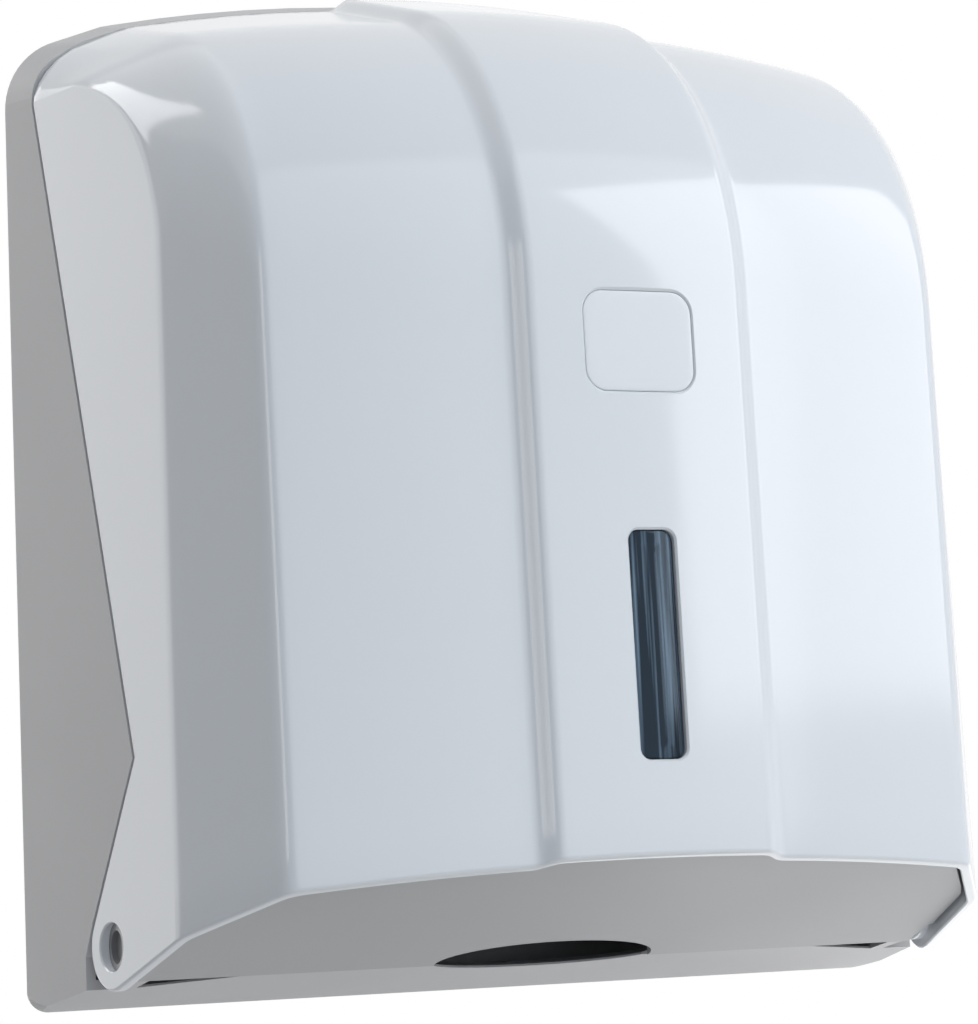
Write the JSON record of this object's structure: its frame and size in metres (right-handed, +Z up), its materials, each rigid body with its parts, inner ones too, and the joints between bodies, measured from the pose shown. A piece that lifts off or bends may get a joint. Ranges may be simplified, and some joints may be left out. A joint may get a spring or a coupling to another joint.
{
  "type": "folded towel dispenser",
  "caption": "Wall dispenser for folded paper towels with a grey rear shell, a bowed white swing-down cover with level window, a sloped tray with outlet and a key lock in the top rim.",
  "frame": {"origin": "centre of the four wall screw holes, on the face that lies on the wall", "axes": "+X to the right as seen by someone facing the dispenser, +Y into the wall, +Z up"},
  "size_m": [0.2658, 0.1301, 0.2908],
  "materials": {
    "shell_grey": "fine satin moulded plastic",
    "tray_grey": "fine satin moulded plastic",
    "pin_grey": "satin moulded plastic",
    "cover_white": "high gloss moulded plastic",
    "badge_white": "satin gloss",
    "lens_smoke": "clear smoke-tinted plastic",
    "lock_metal": "bright plated",
    "screw_steel": "zinc plated"
  },
  "bodies": {
    "housing": {"back_shell": "shell_grey", "towel_tray": "tray_grey", "tray_screw_left": "screw_steel", "tray_screw_right": "screw_steel", "hinge_pin_left": "pin_grey", "hinge_pin_right": "pin_grey", "lock_barrel": "lock_metal", "lock_nut": "lock_metal"},
    "cover": {"front_cover": "cover_white", "window_lens": "lens_smoke", "blank_badge": "badge_white"},
    "lock": {"lock_plug": "lock_metal", "stop_washer": "screw_steel", "lock_cam": "screw_steel", "cam_screw": "screw_steel"}
  },
  "joints": [
    {"name": "cover_hinge", "type": "hinge", "parent": "housing", "child": "cover", "pos_m": [0, -0.0493, -0.134], "axis": [1, 0, 0], "range_deg": [0, 115]},
    {"name": "lock_turn", "type": "hinge", "parent": "housing", "child": "lock", "pos_m": [0, -0.009, 0.13], "axis": [0, 0, -1], "range_deg": [0, 90]}
  ]
}
